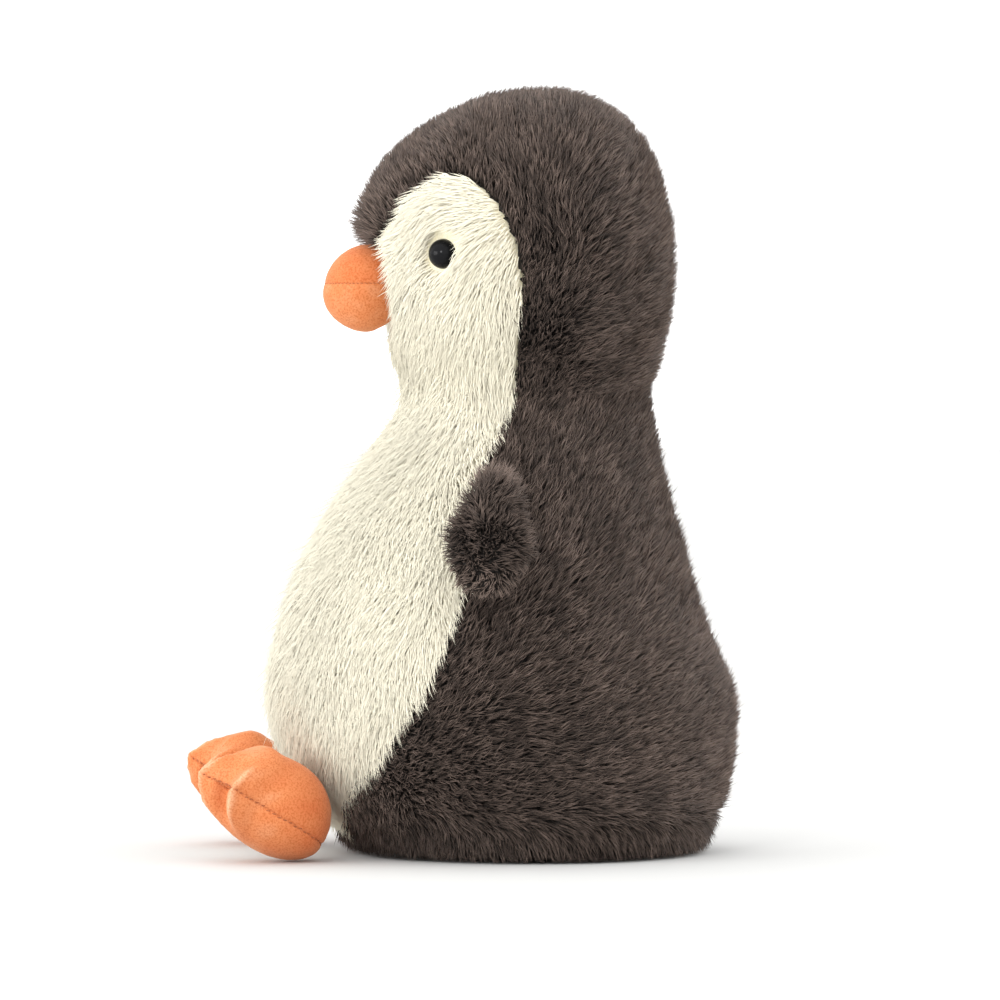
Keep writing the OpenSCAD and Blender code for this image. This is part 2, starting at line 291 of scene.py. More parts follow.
def suede_material(name):
    """Orange suede: fine flecks on a tone read from a value at each point, dark at 0 and pale at 1. On the
    feet that value carries painted shade and painted highlights as well as wear.
    """
    material, nodes, links, shader = node_material(name)
    flecks = noise_of(nodes, links, 1700, 3)
    nap_and_painted_light = nodes.new("ShaderNodeAttribute")
    nap_and_painted_light.attribute_name = "nap_and_painted_light"
    broad = ramp(nodes, [(0, (0.56, 0.127, 0.037)), (0.5, (0.64, 0.216, 0.082)), (1, (0.73, 0.40, 0.235))])
    links.new(nap_and_painted_light.outputs["Fac"], broad.inputs["Fac"])
    fine = ramp(nodes, [(0.36, (0.80, 0.68, 0.58)), (0.5, (0.97, 0.95, 0.93)), (0.66, (1, 1.06, 1.12))])
    links.new(flecks, fine.inputs["Fac"])
    links.new(multiplied(nodes, links, broad, fine), shader.inputs["Base Color"])
    add_bump(nodes, links, shader, flecks, 0.3, 0.2 * MM)
    shader.inputs["Roughness"].default_value = 0.9
    shader.inputs["Specular IOR Level"].default_value = 0.1
    shader.inputs["Sheen Weight"].default_value = 0.25
    shader.inputs["Sheen Roughness"].default_value = 0.5
    shader.inputs["Sheen Tint"].default_value = (1, 0.72, 0.5, 1)
    return material


def mottled_material(name, low, high, scale, roughness, bump_depth):
    """A matte material that varies between two colours, with a bump to match."""
    material, nodes, links, shader = node_material(name)
    noise = noise_of(nodes, links, scale, 5)
    colour = ramp(nodes, [(0.35, low), (0.65, high)])
    links.new(noise, colour.inputs["Fac"])
    links.new(colour.outputs["Color"], shader.inputs["Base Color"])
    add_bump(nodes, links, shader, noise, 0.5, bump_depth)
    shader.inputs["Roughness"].default_value = roughness
    return material


def eye_material():
    """Black glossy plastic with a little wear: the gloss is uneven."""
    material, nodes, links, shader = node_material("eye_plastic")
    shader.inputs["Base Color"].default_value = (0.006, 0.006, 0.007, 1)
    wear_and_highlight = nodes.new("ShaderNodeMapRange")
    wear_and_highlight.inputs["To Min"].default_value = 0.03
    wear_and_highlight.inputs["To Max"].default_value = 0.1
    links.new(noise_of(nodes, links, 700, 2), wear_and_highlight.inputs["Value"])
    links.new(wear_and_highlight.outputs["Result"], shader.inputs["Roughness"])
    shader.inputs["Specular IOR Level"].default_value = 0.12
    return material


FUR = {
    "charcoal": fur_material(
        "charcoal_fur",
        # Nearly black at the root: painted shade deep in the pile between the strands.
        [(0, (0.006, 0.004, 0.003)), (0.45, (0.034, 0.025, 0.020)), (1, (0.205, 0.152, 0.127))],
        [(0, (0.3, 0.3, 0.3)), (0.44, (1, 1, 1)), (1, (2.0, 2.0, 2.0))],
    ),
    "cream": fur_material(
        "cream_fur",
        # Lighter at the root than at the tip: painted light in the shaded depth of the pile, with the tips
        # painted darker to damp their highlights.
        [(0, (0.97, 0.90, 0.70)), (0.4, (0.97, 0.91, 0.73)), (1, (0.92, 0.875, 0.715))],
        [(0, (0.85, 0.78, 0.62)), (0.5, (1, 1, 1)), (1, (1, 1, 1))],
    ),
}
SUEDE = suede_material("orange_suede")
STITCH = mottled_material("stitch_thread", (0.3, 0.08, 0.02), (0.42, 0.12, 0.04), 2500, 0.7, 0.1 * MM)
WOOL = mottled_material("stuffing", (0.82, 0.82, 0.8), (0.95, 0.95, 0.94), 400, 0.95, 1 * MM)
CALICO = mottled_material("pouch_cotton", (0.66, 0.6, 0.48), (0.8, 0.74, 0.62), 900, 0.9, 0.4 * MM)
PELLET = mottled_material("pellets", (0.7, 0.72, 0.72), (0.86, 0.88, 0.88), 300, 0.45, 0.1 * MM)
WASHER = mottled_material("washer_plastic", (0.7, 0.72, 0.74), (0.8, 0.82, 0.84), 500, 0.4, 0.1 * MM)
# Darker than its fur: partly the cloth's own colour, partly painted shade so the gaps between strands read as
# shaded crevices.
CHARCOAL_KNIT = mottled_material(
    "charcoal_knit", (0.012, 0.01, 0.009), (0.03, 0.025, 0.022), 1200, 0.95, 0.2 * MM
)
# Darker and yellower than the cream fur: partly the cloth's own colour, partly painted shade for the
# yellowish shade between the tufts.
CREAM_KNIT = mottled_material("cream_knit", (0.86, 0.78, 0.54), (0.93, 0.87, 0.66), 1200, 0.95, 0.2 * MM)
BACKING = {"charcoal": CHARCOAL_KNIT, "cream": CREAM_KNIT}


# ---------------------------------------------------------------- fur


def spread(co, tri, spacing, draw):
    """Even random spots on a mesh, one to each small cube that it crosses: corners and their shares."""
    a, b, c = co[tri[:, 0]], co[tri[:, 1]], co[tri[:, 2]]
    area = np.linalg.norm(np.cross(b - a, c - a), axis=1) / 2
    wanted = int(5 * area.sum() / spacing**2)
    pick = draw.choice(len(tri), wanted, p=area / area.sum())
    u, v = draw.random((2, wanted, 1))
    over = u + v > 1
    u, v = np.where(over, 1 - u, u), np.where(over, 1 - v, v)
    points = a[pick] + u * (b[pick] - a[pick]) + v * (c[pick] - a[pick])
    cell = np.floor(points / spacing).astype(np.int64)
    key = (cell[:, 0] * 4001 + cell[:, 1]) * 4001 + cell[:, 2]
    _, first = np.unique(key, return_index=True)
    return tri[pick][first], np.concatenate([1 - u - v, u, v], axis=1)[first]


def tangent(vector, normals):
    vector = np.broadcast_to(np.asarray(vector, float), normals.shape)
    return unit(vector - dot(vector, normals) * normals)


def strand_points(roots, normals, flow, length, lay, scatter, draw):
    """Where the middle and the tip of each strand lie. lay is its angle from the normal."""
    side = np.cross(normals, flow)
    stray = draw.normal(size=(len(roots), 2)) * scatter
    way = unit(flow + side * stray[:, :1])
    tilt = lay[:, None] + 0.5 * stray[:, 1:]
    middle = roots + 0.5 * length * (np.cos(tilt - 0.45) * normals + np.sin(tilt - 0.45) * way)
    tip = middle + 0.55 * length * (np.cos(tilt + 0.25) * normals + np.sin(tilt + 0.25) * way)
    return middle, tip


def gather(roots, middle, tip, spacing, pull, draw):
    """Draws strands together into tufts."""
    cell = np.floor(roots / spacing).astype(np.int64)
    key = (cell[:, 0] * 4001 + cell[:, 1]) * 4001 + cell[:, 2]
    order = draw.permutation(len(roots))
    _, first = np.unique(key[order], return_index=True)
    leaders = order[first]
    tree = KDTree(len(leaders))
    for i, leader in enumerate(leaders.tolist()):
        tree.insert(roots[leader], i)
    tree.balance()
    nearest = leaders[[tree.find(p)[1] for p in roots.tolist()]]
    share = pull * draw.uniform(0.6, 1.0, (len(roots), 1))
    middle = middle + 0.35 * share * (middle[nearest] - middle)
    tip = tip + share * (tip[nearest] - tip)
    return middle, tip, nearest


def strand_mesh(name, roots, middle, tip, normals, width, tone, soft, material):
    """Every strand as a closed tapering spike of three sides with one bend.
    soft is how far its shading follows the cloth below it and not its own sides."""
    count = len(roots)
    low, high = unit(middle - roots), unit(tip - middle)
    rings = []
    for centre, way, share in ((roots, low, 1.0), (middle, unit(low + high), 0.8)):
        across = unit(np.cross(way, normals) + 1e-6)
        over = np.cross(way, across)
        for k in range(3):
            turn = 2 * math.pi * k / 3
            rings.append(centre + share * width * (math.cos(turn) * across + math.sin(turn) * over))
    co = np.stack([*rings, tip], axis=1).reshape(-1, 3)
    co[:, 2] = np.maximum(co[:, 2], 0.25 * MM)
    quads = np.array([[k, (k + 1) % 3, 3 + (k + 1) % 3, 3 + k] for k in range(3)])
    points = np.array([[3 + k, 3 + (k + 1) % 3, 6] for k in range(3)])
    start = 7 * np.arange(count)[:, None]
    corners = np.concatenate([quads.ravel(), points.ravel()])[None, :] + start
    sizes = np.tile([4, 4, 4, 3, 3, 3], count)
    obj = mesh_object(name, co, corners.ravel(), sizes, material)
    along = np.array([0, 0, 0.5, 0.5] * 3 + [0.5, 0.5, 1] * 3)
    beside = np.array([0, 1, 1, 0] * 3 + [0, 1, 0.5] * 3) * 0.01
    u = np.clip(tone[:, None], 0.01, 0.98) + beside[None, :]
    v = np.broadcast_to(0.01 + 0.98 * along[None, :], u.shape)
    layer = obj.data.uv_layers.new(name="OFBake")
    layer.data.foreach_set("uv", np.stack([u, v], axis=2).astype(np.float32).ravel())
    centres = np.stack([roots] * 3 + [middle] * 3 + [tip - (tip - middle) * 0.2], axis=1).reshape(-1, 3)
    shading = unit(soft * np.repeat(normals, 7, axis=0) + (1 - soft) * unit(co - centres))
    obj.data.normals_split_custom_set_from_vertices(shading)
    return obj


def in_parts(name, roots, biggest):
    """Splits strands by height into pieces of a size that files can hold."""
    pieces = max(1, math.ceil(len(roots) / biggest))
    order = np.argsort(roots[:, 2], kind="stable")
    for i, part in enumerate(np.array_split(order, pieces)):
        yield (name if pieces == 1 else f"{name}_{i + 1}"), part


# ---------------------------------------------------------------- sewn forms


class Form:
    """A stuffed skin: the outside at the tips of its pile, the cloth below, and how near its panels are."""

    def __init__(self, panels, outer, skin, tri, near):
        self.panels = panels
        self.outer = outer
        self.skin = skin
        self.tri = tri
        self.near = near
        self.normals = point_normals(skin, tri)


def seam_gap(near):
    """How far each point is from the seam between its two nearest panels."""
    order = np.sort(near, axis=1)
    return order[:, 1] - order[:, 0]


def pile_height(panels, near):
    """The height of the pile at each point, blended between the panels near it."""
    heights = np.array([STYLE[PANEL_KIND[panel]]["pile"] for panel in panels])
    weight = np.exp(-(near - near.min(axis=1, keepdims=True)) / (4 * MM))
    return (weight @ heights / weight.sum(axis=1))[:, None]


def stuffed_form(panels, solids, voxel, cap):
    """The skin of some panels, blown up between its seams. Where it rests on the floor the pile is flat."""
    outer, tri = remeshed([*panels, *solids], voxel)
    outer = relaxed(outer, tri, 2)
    near = distances(outer, panels)
    outward = point_normals(outer, tri)
    resting = smoothstep(0.5, 0.9, -outward[:, 2:]) * (outer[:, 2:] < 20 * MM)
    depth = pile_height(panels, near) * (1 - 0.65 * resting) + 0.5 * cap
    skin = relaxed(outer - depth * outward, tri, 6)
    pinned = 1 - smoothstep(1 * MM, 9 * MM, seam_gap(near))
    skin = inflated(skin, tri, np.maximum(pinned, resting[:, 0]), 4, cap)
    return Form(panels, outer, skin, tri, near)


def edge_quads(tri, count):
    """Triangles that join the border of a sheet to the same border on its other side."""
    ways = np.concatenate([tri[:, [0, 1]], tri[:, [1, 2]], tri[:, [2, 0]]]).astype(np.int64)
    key = ways[:, 0] * count + ways[:, 1]
    back = ways[:, 1] * count + ways[:, 0]
    border = ways[~np.isin(key, back)]
    a, b = border[:, 0], border[:, 1]
    return np.concatenate([np.stack([b, a, a + count], 1), np.stack([b, a + count, b + count], 1)])


def shell(name, co, normals, faces, thick, material):
    """Some faces of a mesh as a thin closed cloth, and the points that it uses."""
    used, flat = np.unique(faces, return_inverse=True)
    tri = flat.reshape(-1, 3)
    count = len(used)
    points = np.concatenate([co[used], co[used] - thick * normals[used]])
    both = np.concatenate([tri, tri[:, ::-1] + count, edge_quads(tri, count)])
    return triangle_object(name, points, both, material), used


def backing(form, panel, kind):
    """The knitted cloth under the pile of one panel. Its colour is partly painted shade for the gaps between
    the strands.
    """
    index = form.panels.index(panel)
    near = form.near[form.tri].mean(axis=1)
    faces = form.tri[near.argmin(axis=1) == index]
    return shell(f"{panel}_cloth", form.skin, form.normals, faces, 0.8 * MM, BACKING[kind])[0]


def value_at(values, corners, shares):
    return np.einsum("nk,nkd->nd", shares, values[corners])


def grow(form, panels, kind, flow, tone, keep_off):
    """Fur on some panels of a form: for each strand its panel, root, middle, tip, normal and tone."""
    style = STYLE[kind]
    corners, shares = spread(form.skin, form.tri, style["spacing"], rng)
    near = value_at(form.near, corners, shares)
    owner = near.argmin(axis=1)
    own = [form.panels.index(p) for p in panels]
    wanted = np.isin(owner, own)
    corners, shares, near, owner = corners[wanted], shares[wanted], near[wanted], owner[wanted]
    normals = unit(value_at(form.normals, corners, shares))
    roots = value_at(form.skin, corners, shares) - 0.3 * MM * normals
    outer = value_at(form.outer, corners, shares)
    others = [i for i, p in enumerate(form.panels) if PANEL_KIND[p] != kind]
    edge = near[:, others].min(axis=1) if others else np.full(len(near), 1.0)
    way, lay, reach = flow(outer, normals, edge)
    length = style["length"] * reach[:, None] * rng.uniform(0.78, 1.12, (len(roots), 1))
    stray = rng.random(len(roots)) < 0.012
    length[stray] *= 1.2
    lay = np.where(stray, 0.6 * lay, lay)
    middle, tip = strand_points(roots, normals, tangent(way, normals), length, lay, style["scatter"], rng)
    middle, tip, leader = gather(roots, middle, tip, style["tuft"], style["pull"], rng)
    vary = style["vary"]
    shade = tone(outer) * (1 + 0.5 * vary * waves(outer, 14 * MM, 5))
    shade *= rng.uniform(1 - vary, 1 + vary, len(roots)) * rng.uniform(1 - vary, 1 + vary, len(roots))[leader]
    keep = keep_off(roots, middle, tip)
    return owner[keep], roots[keep], middle[keep], tip[keep], normals[keep], (shade[keep] - 0.3) / 1.6


def fur_pieces(form, panels, kind, flow, tone, keep_off=lambda roots, middle, tip: np.ones(len(roots), bool)):
    """The cloth and the fur of some panels, which hide the CAD panels that they replace. Gives the pieces of
    each panel.
    """
    style = STYLE[kind]
    fur = "cream" if kind == "cream" else "charcoal"
    owner, roots, middle, tip, normals, shade = grow(form, panels, kind, flow, tone, keep_off)
    made = {}
    for panel in panels:
        own = np.flatnonzero(owner == form.panels.index(panel))
        pieces = [backing(form, panel, fur)]
        for name, part in in_parts(f"{panel}_fur", roots[own], MOST_STRANDS):
            i = own[part]
            strands = (roots[i], middle[i], tip[i], normals[i])
            pieces.append(strand_mesh(name, *strands, style["radius"], shade[i], style["soft"], FUR[fur]))
        for piece in pieces:
            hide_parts(panel)
        made[panel] = pieces
    return made


MOST_STRANDS = 21000
STYLE = {
    "charcoal": {
        "pile": 4.4 * MM,
        "length": 7.6 * MM,
        "scatter": 0.4,
        "radius": 0.21 * MM,
        "spacing": 0.65 * MM,
        "tuft": 1.25 * MM,
        "pull": 0.58,
        "soft": 0.1,
        "vary": 0.45,
    },
    "cream": {
        "pile": 4.6 * MM,
        "length": 9.5 * MM,
        "scatter": 0.24,
        "radius": 0.21 * MM,
        "spacing": 0.65 * MM,
        "tuft": 1.8 * MM,
        "pull": 0.16,
        "soft": 0.95,
        "vary": 0.05,
    },
    "flipper": {
        "pile": 2.6 * MM,
        "length": 5.2 * MM,
        "scatter": 0.6,
        "radius": 0.2 * MM,
        "spacing": 0.6 * MM,
        "tuft": 1.4 * MM,
        "pull": 0.62,
        "soft": 0.2,
        "vary": 0.35,
    },
}
FLIPPER_PANELS = {f"flipper_{side}_{face}": "flipper" for side in SIDES for face in ("outer", "inner")}
PANEL_KIND = {**TORSO_PANELS, **HEAD_PANELS, **FLIPPER_PANELS}


def turned(way, normals, angle):
    """Turns directions about the normals."""
    return way * np.cos(angle)[:, None] + np.cross(normals, way) * np.sin(angle)[:, None]


def on_side(p, vector):
    """A vector for the left side, mirrored for points on the right."""
    return np.where(p[:, :1] > 0, vector, np.array(vector) * [-1, 1, 1])


# ---------------------------------------------------------------- torso fur

NECK_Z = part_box("belly_panel")[1].z
DOWN = np.array([0, 0, -1.0])
ABOVE_HEEL = (sum(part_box("foot_left_upper"), Vector()) / 2) + Vector((0, 14, 6)) * MM


def belly_flow(p, normals, edge):
    """Hangs down, sweeps back over the dark fur at the side seam and stands out over the feet."""
    seam = 1 - smoothstep(1 * MM, 14 * MM, edge)
    back = 0.3 * seam
    way = DOWN + back[:, None] * np.array([0, 1.0, 0])
    lay = 1.1 + 0.08 * waves(p, 30 * MM, 3)
    way = turned(tangent(way, normals), normals, 0.3 * waves(p, 32 * MM, 6))
    from_foot = np.linalg.norm(p - on_side(p, np.array(ABOVE_HEEL)), axis=1)
    over_foot = np.exp(-((from_foot / (15 * MM)) ** 2))
    return way, lay - 0.2 * over_foot, (1 - 0.25 * seam) * (1 + 0.15 * over_foot)


def back_flow(p, normals, edge):
    """Brushed up and back, steep at the shoulder and flat below. A fringe points down at the floor."""
    rise = np.radians(24 + 40 * smoothstep(30 * MM, NECK_Z - 10 * MM, p[:, 2]))
    way = np.stack([np.zeros(len(p)), np.cos(rise), np.sin(rise)], 1)
    low = (1 - smoothstep(1 * MM, 20 * MM, p[:, 2]))[:, None]
    way = way * (1 - low) + low * np.array([0, 0.25, -1])
    way = turned(tangent(way, normals), normals, 0.25 * waves(p, 32 * MM, 6))
    lay = 0.7 + 0.2 * waves(p, 20 * MM, 4)
    under = smoothstep(0.7, 0.95, -normals[:, 2])
    high_seam = (1 - smoothstep(0, 8 * MM, edge)) * smoothstep(14 * MM, 34 * MM, p[:, 2])
    return way, lay, (1 - 0.6 * under) * (1 - 0.4 * high_seam)


def thin_below(roots, middle, tip):
    """Leaves two in three strands off the underside, where the fur is pressed flat."""
    return (roots[:, 2] > 4 * MM) | (rng.random(len(roots)) < 0.35)


def back_tone(p):
    # Darker higher up the back: painted shade that tones down the light from above.
    return 1.0 - 0.12 * smoothstep(30 * MM, 100 * MM, p[:, 2])


def cream_tone(p):
    return np.full(len(p), 1.15)


# ---------------------------------------------------------------- head fur

EYES = {side: sum(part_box(f"eye_{side}"), Vector()) / 2 for side in SIDES}
EYE_R = (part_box("eye_left")[1].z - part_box("eye_left")[0].z) / 2
EYE_OUT = np.array([0.8, -0.6, 0])
BEHIND_EYE = np.array([8, 34, 28]) * MM


def face_flow(p, normals, edge):
    """Spreads from above and behind each eye and falls. It is short by the beak and round the eyes."""
    away = p - on_side(p, np.array(EYES["left"]) + BEHIND_EYE)
    fall = 1 - smoothstep(EYES["left"].z - 25 * MM, EYES["left"].z + 15 * MM, p[:, 2])
    way = unit(away) + (0.1 + 0.7 * fall)[:, None] * DOWN
    lay = 1.1 + 0.08 * waves(p, 22 * MM, 8)
    beak = np.array([BEAK_TREE.find_nearest(q)[3] for q in p])
    chin = 1 - smoothstep(BEAK_BOTTOM - 6 * MM, BEAK_BOTTOM + 2 * MM, p[:, 2])
    reach = 0.2 + 0.8 * np.maximum(smoothstep(2 * MM, 12 * MM, beak), chin)
    eye = np.linalg.norm(p - on_side(p, np.array(EYES["left"])), axis=1)
    reach *= 1 - 0.25 * np.exp(-((eye / (2 * EYE_R)) ** 2))
    rim = 1 - 0.25 * (1 - smoothstep(0, 8 * MM, edge))
    rim += 0.25 * (1 - smoothstep(NECK_Z + 2 * MM, NECK_Z + 14 * MM, p[:, 2]))
    return turned(tangent(way, normals), normals, 0.35 * waves(p, 26 * MM, 10)), lay, reach * rim


def hood_flow(p, normals, edge):
    """Brushed up, and back behind the cheek. It stands out in front over the peak."""
    back = smoothstep(0, 24 * MM, p[:, 1])
    peak = smoothstep(8 * MM, 32 * MM, -p[:, 1]) * smoothstep(185 * MM, 200 * MM, p[:, 2])
    way = np.stack([np.zeros(len(p)), 0.9 * back - 0.5 * peak, np.ones(len(p))], 1)
    lay = 0.6 - 0.05 * peak + 0.2 * waves(p, 20 * MM, 9)
    brow = np.exp(-(((p[:, 2] - EYES["left"].z - 5 * MM) / (9 * MM)) ** 2))
    brow = brow * smoothstep(30 * MM, 42 * MM, -p[:, 1])
    lay = lay - 0.3 * brow
    reach = 0.75 + 0.25 * smoothstep(0, 8 * MM, edge) + 0.4 * brow - 0.22 * peak
    return turned(tangent(way, normals), normals, 0.5 * waves(p, 26 * MM, 10)), lay, reach


def hood_tone(p):
    cheek = smoothstep(-30 * MM, -5 * MM, -p[:, 1]) * (1 - smoothstep(160 * MM, 172 * MM, p[:, 2]))
    return 0.93 - 0.1 * cheek


def inside(tree, points, depth):
    """Which points lie more than a depth inside a closed mesh."""
    result = np.zeros(len(points), bool)
    for i, p in enumerate(points):
        place, normal, _, distance = tree.find_nearest(p, 30 * MM)
        if place is not None:
            result[i] = distance > depth and (Vector(p) - place).dot(normal) < 0
    return result


def off_the_face(roots, middle, tip):
    """Keeps fur off the eyes and out of the beak."""
    keep = np.ones(len(roots), bool)
    centre, axis = on_side(roots, np.array(EYES["left"])), on_side(roots, EYE_OUT)
    for points, share in ((roots, 1.03), (middle, 1), (0.5 * (middle + tip), 0.97), (tip, 0.95)):
        away = points - centre
        along = dot(away, axis)
        off = np.linalg.norm(away - along * axis, axis=1) - 0.25 * np.maximum(along[:, 0], 0)
        keep &= ~((off < share * EYE_R) & (along[:, 0] > -8 * MM))
    close = keep & (roots[:, 1] < -30 * MM)
    for points in (roots, middle, tip):
        keep[close] &= ~inside(BEAK_TREE, points[close], 0.2 * MM)
    return keep


def drawn_in(form, panels):
    """Draws the skin in at the neck and round the beak, and up round the eyes to hide their washers."""
    torso = form.near[:, [panels.index(p) for p in TORSO_PANELS]].min(axis=1)
    head = form.near[:, [panels.index(p) for p in HEAD_PANELS]].min(axis=1)
    step = -0.6 * MM * np.exp(-(((torso - head) / (3 * MM)) ** 2))
    beak = np.array([BEAK_TREE.find_nearest(p)[3] for p in form.skin])
    beside = smoothstep(BEAK_BOTTOM - 1 * MM, BEAK_BOTTOM + 7 * MM, form.skin[:, 2])
    step -= 2.2 * MM * beside * np.exp(-((beak / (6 * MM)) ** 2))
    for eye in EYES.values():
        away = np.linalg.norm(form.skin - np.array(eye), axis=1)
        step += 2 * MM * np.exp(-((away / (8 * MM)) ** 2))
    form.skin = form.skin + step[:, None] * form.normals
    form.normals = point_normals(form.skin, form.tri)


def make_skin():
    """The whole fur skin, from the base panel to the crown, as one stuffed form."""
    panels = [*TORSO_PANELS, *HEAD_PANELS]
    form = stuffed_form(panels, ["body_fill", "neck_fill", "head_fill"], 3 * MM, 1.5 * MM)
    drawn_in(form, panels)
    back = [n for n, kind in TORSO_PANELS.items() if kind == "charcoal"]
    hood = [n for n, kind in HEAD_PANELS.items() if kind == "charcoal"]
    face = [n for n, kind in HEAD_PANELS.items() if kind == "cream"]
    torso = fur_pieces(form, back, "charcoal", back_flow, back_tone, thin_below)
    torso.update(fur_pieces(form, ["belly_panel"], "cream", belly_flow, cream_tone))
    head = fur_pieces(form, hood, "charcoal", hood_flow, hood_tone, off_the_face)
    head.update(fur_pieces(form, face, "cream", face_flow, cream_tone, off_the_face))
    for piece in torso.pop("base_panel"):
        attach(piece, "torso")
    for piece in sum(torso.values(), []):
        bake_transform(piece)
    for piece in sum(head.values(), []):
        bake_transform(piece)


# ---------------------------------------------------------------- flippers


def flipper_root(side):
    """Where a flipper's root is, and the way that the flipper hangs from it."""
    low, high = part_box(f"flipper_{side}_outer")
    inner, outer = (low.x, high.x) if side == "left" else (high.x, low.x)
    root = Vector((inner, (low.y + high.y) / 2, high.z))
    return root, Vector((outer - inner, 0, low.z - high.z)).normalized()


def bent_in(co, side):
    """Bends the top of a flipper in, so that its root meets the torso's fur."""
    root, way = flipper_root(side)
    bend = 5 * MM * (1 - smoothstep(2 * MM, 14 * MM, (co - np.array(root)) @ np.array(way)))
    return co - bend[:, None] * np.array([np.sign(root.x), 0, 0])


def sewn_on(piece):
    """Bakes a flipper piece's placing into its points."""
    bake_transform(piece)


def make_flipper(side):
    """A small fur pad, brushed out from its middle, with its rim painted paler as painted light on its edge.
    Its fur is longer at the top and shorter on the inner face."""
    panels = [f"flipper_{side}_outer", f"flipper_{side}_inner"]
    form = stuffed_form(panels, [f"flipper_{side}_fill"], 1.6 * MM, 1 * MM)
    form.outer, form.skin = bent_in(form.outer, side), bent_in(form.skin, side)
    form.normals = point_normals(form.skin, form.tri)
    middle = form.outer.mean(axis=0)

    def flow(p, normals, edge):
        rim = smoothstep(4 * MM, 20 * MM, np.linalg.norm(p - middle, axis=1))
        outer = smoothstep(-0.2, 0.2, normals[:, 0] * np.sign(middle[0]))
        reach = (0.6 + 0.4 * outer) * (1 + 0.5 * smoothstep(5 * MM, 18 * MM, p[:, 2] - middle[2]))
        way = turned(tangent(unit(p - middle), normals), normals, (2.4 - 1.4 * rim) * waves(p, 10 * MM, 12))
        return way, 0.2 + 0.3 * rim, reach

    def tone(p):
        # Paler towards the rim: painted light where light catches the flipper's edge.
        rim = smoothstep(13 * MM, 21 * MM, np.linalg.norm(p - middle, axis=1))
        return 0.76 + 0.9 * rim

    for piece in sum(fur_pieces(form, panels, "flipper", flow, tone).values(), []):
        sewn_on(piece)


# ---------------------------------------------------------------- suede pads

SUEDE_THICK = 1.0 * MM


def tree_of(points):
    tree = KDTree(len(points))
    for i, p in enumerate(points.tolist()):
        tree.insert(p, i)
    tree.balance()
    return tree


def nearest_distance(points, targets):
    tree = tree_of(targets)
    return np.array([tree.find(p)[2] for p in points.tolist()])


def seam_ring(above, below, co, tri):
    """The outline that two sewn cloths share: its points in order, its middle and the way up."""
    one, two = arrays(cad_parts[above].data)[0], arrays(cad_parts[below].data)[0]
    shared = np.unique(np.round(one[nearest_distance(one, two) < 0.02 * MM], 6), axis=0)
    form = BVHTree.FromPolygons(co.tolist(), tri.tolist())
    shared = np.array([p for p in shared if form.find_nearest(p)[3] < 0.75 * MM])
    middle = 0.5 * (shared.min(axis=0) + shared.max(axis=0))
    side, ahead, up = np.linalg.svd(shared - middle)[2]
    up = up * np.sign((one.mean(axis=0) - two.mean(axis=0)) @ up)
    turn = np.degrees(np.arctan2((shared - middle) @ ahead, (shared - middle) @ side))
    reach = np.linalg.norm(shared - middle, axis=1)
    apart = np.abs((turn[:, None] - turn[None, :] + 180) % 360 - 180)
    outermost = ~np.any((apart < 3) & (reach[None, :] > reach[:, None]), axis=1)
    order = np.argsort(turn[outermost])
    return shared[outermost][order], middle, up


def evenly(ring, step, closed=True):
    """Points at even steps along a line."""
    line = np.concatenate([ring, ring[:1]]) if closed else ring
    reach = np.concatenate([[0], np.cumsum(np.linalg.norm(np.diff(line, axis=0), axis=1))])
    places = np.linspace(0, reach[-1], max(3, round(reach[-1] / step)), endpoint=not closed)
    return np.stack([np.interp(places, reach, line[:, k]) for k in range(3)], 1)


def subdivided(co, tri):
    obj = triangle_object("form", co, tri, None)
    subdivision = obj.modifiers.new("subdivision", "SUBSURF")
    subdivision.subdivision_type = "SIMPLE"
    subdivision.levels = 1
    co, tri = applied(obj)
    return relaxed(co, tri, 2), tri


